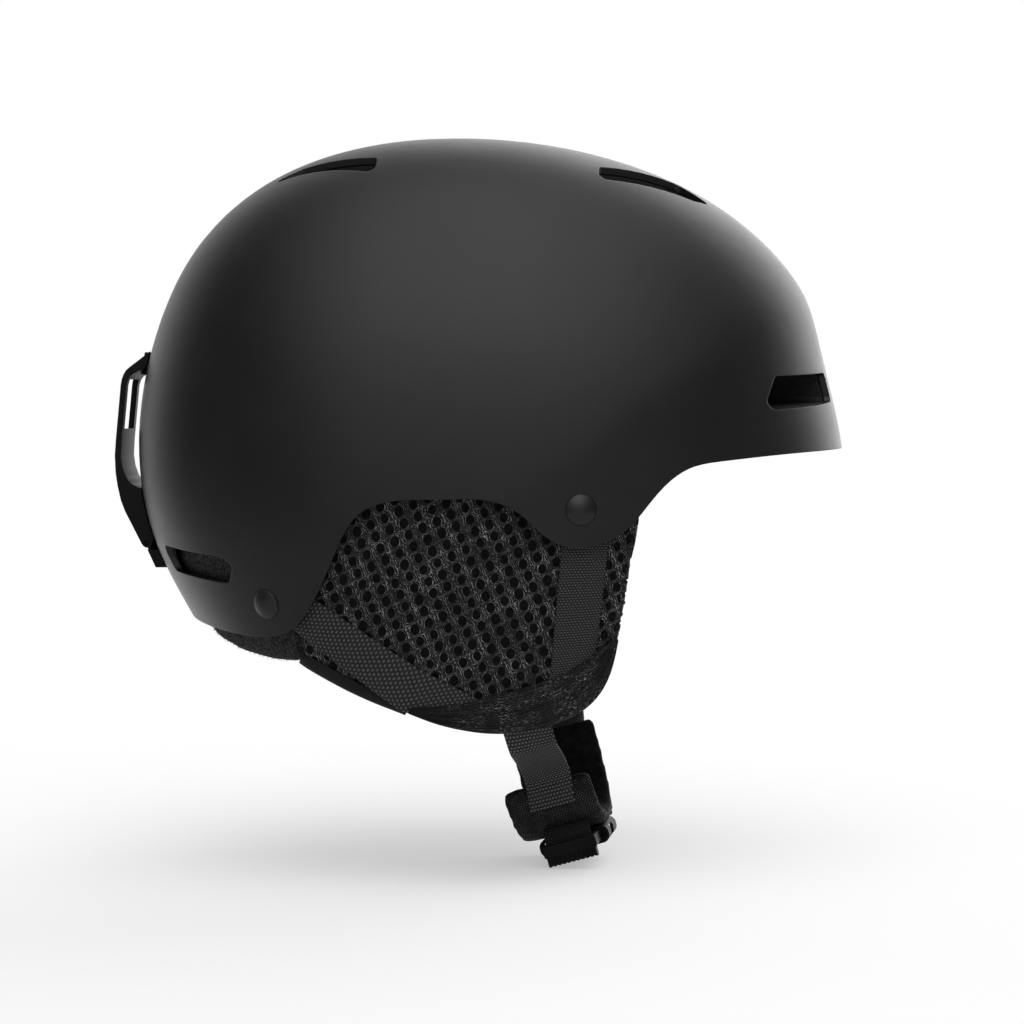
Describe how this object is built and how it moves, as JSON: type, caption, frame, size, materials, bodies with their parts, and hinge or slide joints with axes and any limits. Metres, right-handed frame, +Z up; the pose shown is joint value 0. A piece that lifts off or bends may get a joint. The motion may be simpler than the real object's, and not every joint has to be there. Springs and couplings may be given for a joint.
{
  "type": "ski helmet",
  "caption": "Hard-shell ski and snowboard helmet with foam liner, soft ear pads, vents, rear goggle strap retainer and a padded buckled chin strap.",
  "frame": {"origin": "middle of the head opening, on the mid-plane, at ear level", "axes": "+X to the wearer's left, -Y to the front of the helmet, +Z up"},
  "size_m": [0.2192, 0.292, 0.29],
  "materials": {
    "shell_plastic": "matte",
    "liner_foam": "matte",
    "rivet_paint": "matte",
    "washer_steel": "satin",
    "comfort_fleece": "matte",
    "roll_fleece": "matte",
    "ear_mesh": "matte",
    "lining_fleece": "matte",
    "binding_tape": "matte",
    "sleeve_knit": "matte",
    "webbing": "matte",
    "retainer_plastic": "matte",
    "pin_steel": "satin",
    "chin_fleece": "matte",
    "buckle_plastic": "satin"
  },
  "bodies": {
    "helmet": {"outer_shell": "shell_plastic", "eps_liner": "liner_foam", "rivet_front_right": "rivet_paint", "rivet_front_left": "rivet_paint", "rivet_rear_right": "rivet_paint", "rivet_rear_left": "rivet_paint", "washer_front_right": "washer_steel", "washer_front_left": "washer_steel", "washer_rear_right": "washer_steel", "washer_rear_left": "washer_steel", "crown_pad": "comfort_fleece", "brow_pad": "comfort_fleece", "rear_pad": "comfort_fleece", "side_pad_right": "comfort_fleece", "side_pad_left": "comfort_fleece", "neck_roll": "roll_fleece", "ear_pad_right": "ear_mesh", "ear_pad_left": "ear_mesh", "ear_lining_right": "lining_fleece", "ear_lining_left": "lining_fleece", "ear_binding_right": "binding_tape", "ear_binding_left": "binding_tape", "strap_sleeve_right": "sleeve_knit", "strap_sleeve_left": "sleeve_knit", "strap_front_right": "webbing", "strap_front_left": "webbing", "strap_rear_right": "webbing", "strap_rear_left": "webbing", "retainer_anchor": "retainer_plastic", "retainer_catch": "retainer_plastic", "retainer_pin": "pin_steel"},
    "retainer": {"goggle_retainer": "retainer_plastic"},
    "chin_strap": {"strap_lower_right": "webbing", "strap_lower_left": "webbing", "chin_pad": "chin_fleece", "buckle_male": "buckle_plastic", "adjuster_tab": "buckle_plastic", "adjuster_web": "webbing"},
    "buckle_socket": {"buckle_female": "buckle_plastic"},
    "prong_front": {"buckle_prong_front": "buckle_plastic"},
    "prong_rear": {"buckle_prong_rear": "buckle_plastic"}
  },
  "joints": [
    {"name": "retainer_hinge", "type": "hinge", "parent": "helmet", "child": "retainer", "pos_m": [0, 0.1374, 0.024], "axis": [-1, 0, 0], "range_deg": [0, 45]},
    {"name": "chin_swing", "type": "hinge", "parent": "helmet", "child": "chin_strap", "pos_m": [0, -0.0225, -0.0455], "axis": [1, 0, 0], "range_deg": [-20, 20]},
    {"name": "buckle_release", "type": "slide", "parent": "chin_strap", "child": "buckle_socket", "axis": [0.9954, -0.0958, 0], "range_m": [0, 0.024], "deforming": ["strap_lower_left"]},
    {"name": "prong_front_squeeze", "type": "hinge", "parent": "chin_strap", "child": "prong_front", "pos_m": [-0.02743, -0.04129, -0.09302], "axis": [0.0258, 0.2677, 0.9632], "range_deg": [0, 6], "stiffness_Nm_per_rad": 0.001},
    {"name": "prong_rear_squeeze", "type": "hinge", "parent": "chin_strap", "child": "prong_rear", "pos_m": [-0.026, -0.02645, -0.09718], "axis": [-0.0258, -0.2677, -0.9632], "range_deg": [0, 6], "stiffness_Nm_per_rad": 0.001}
  ],
  "couplings": [
    {"joint": "prong_rear_squeeze", "follows": "prong_front_squeeze", "ratio": 1}
  ]
}
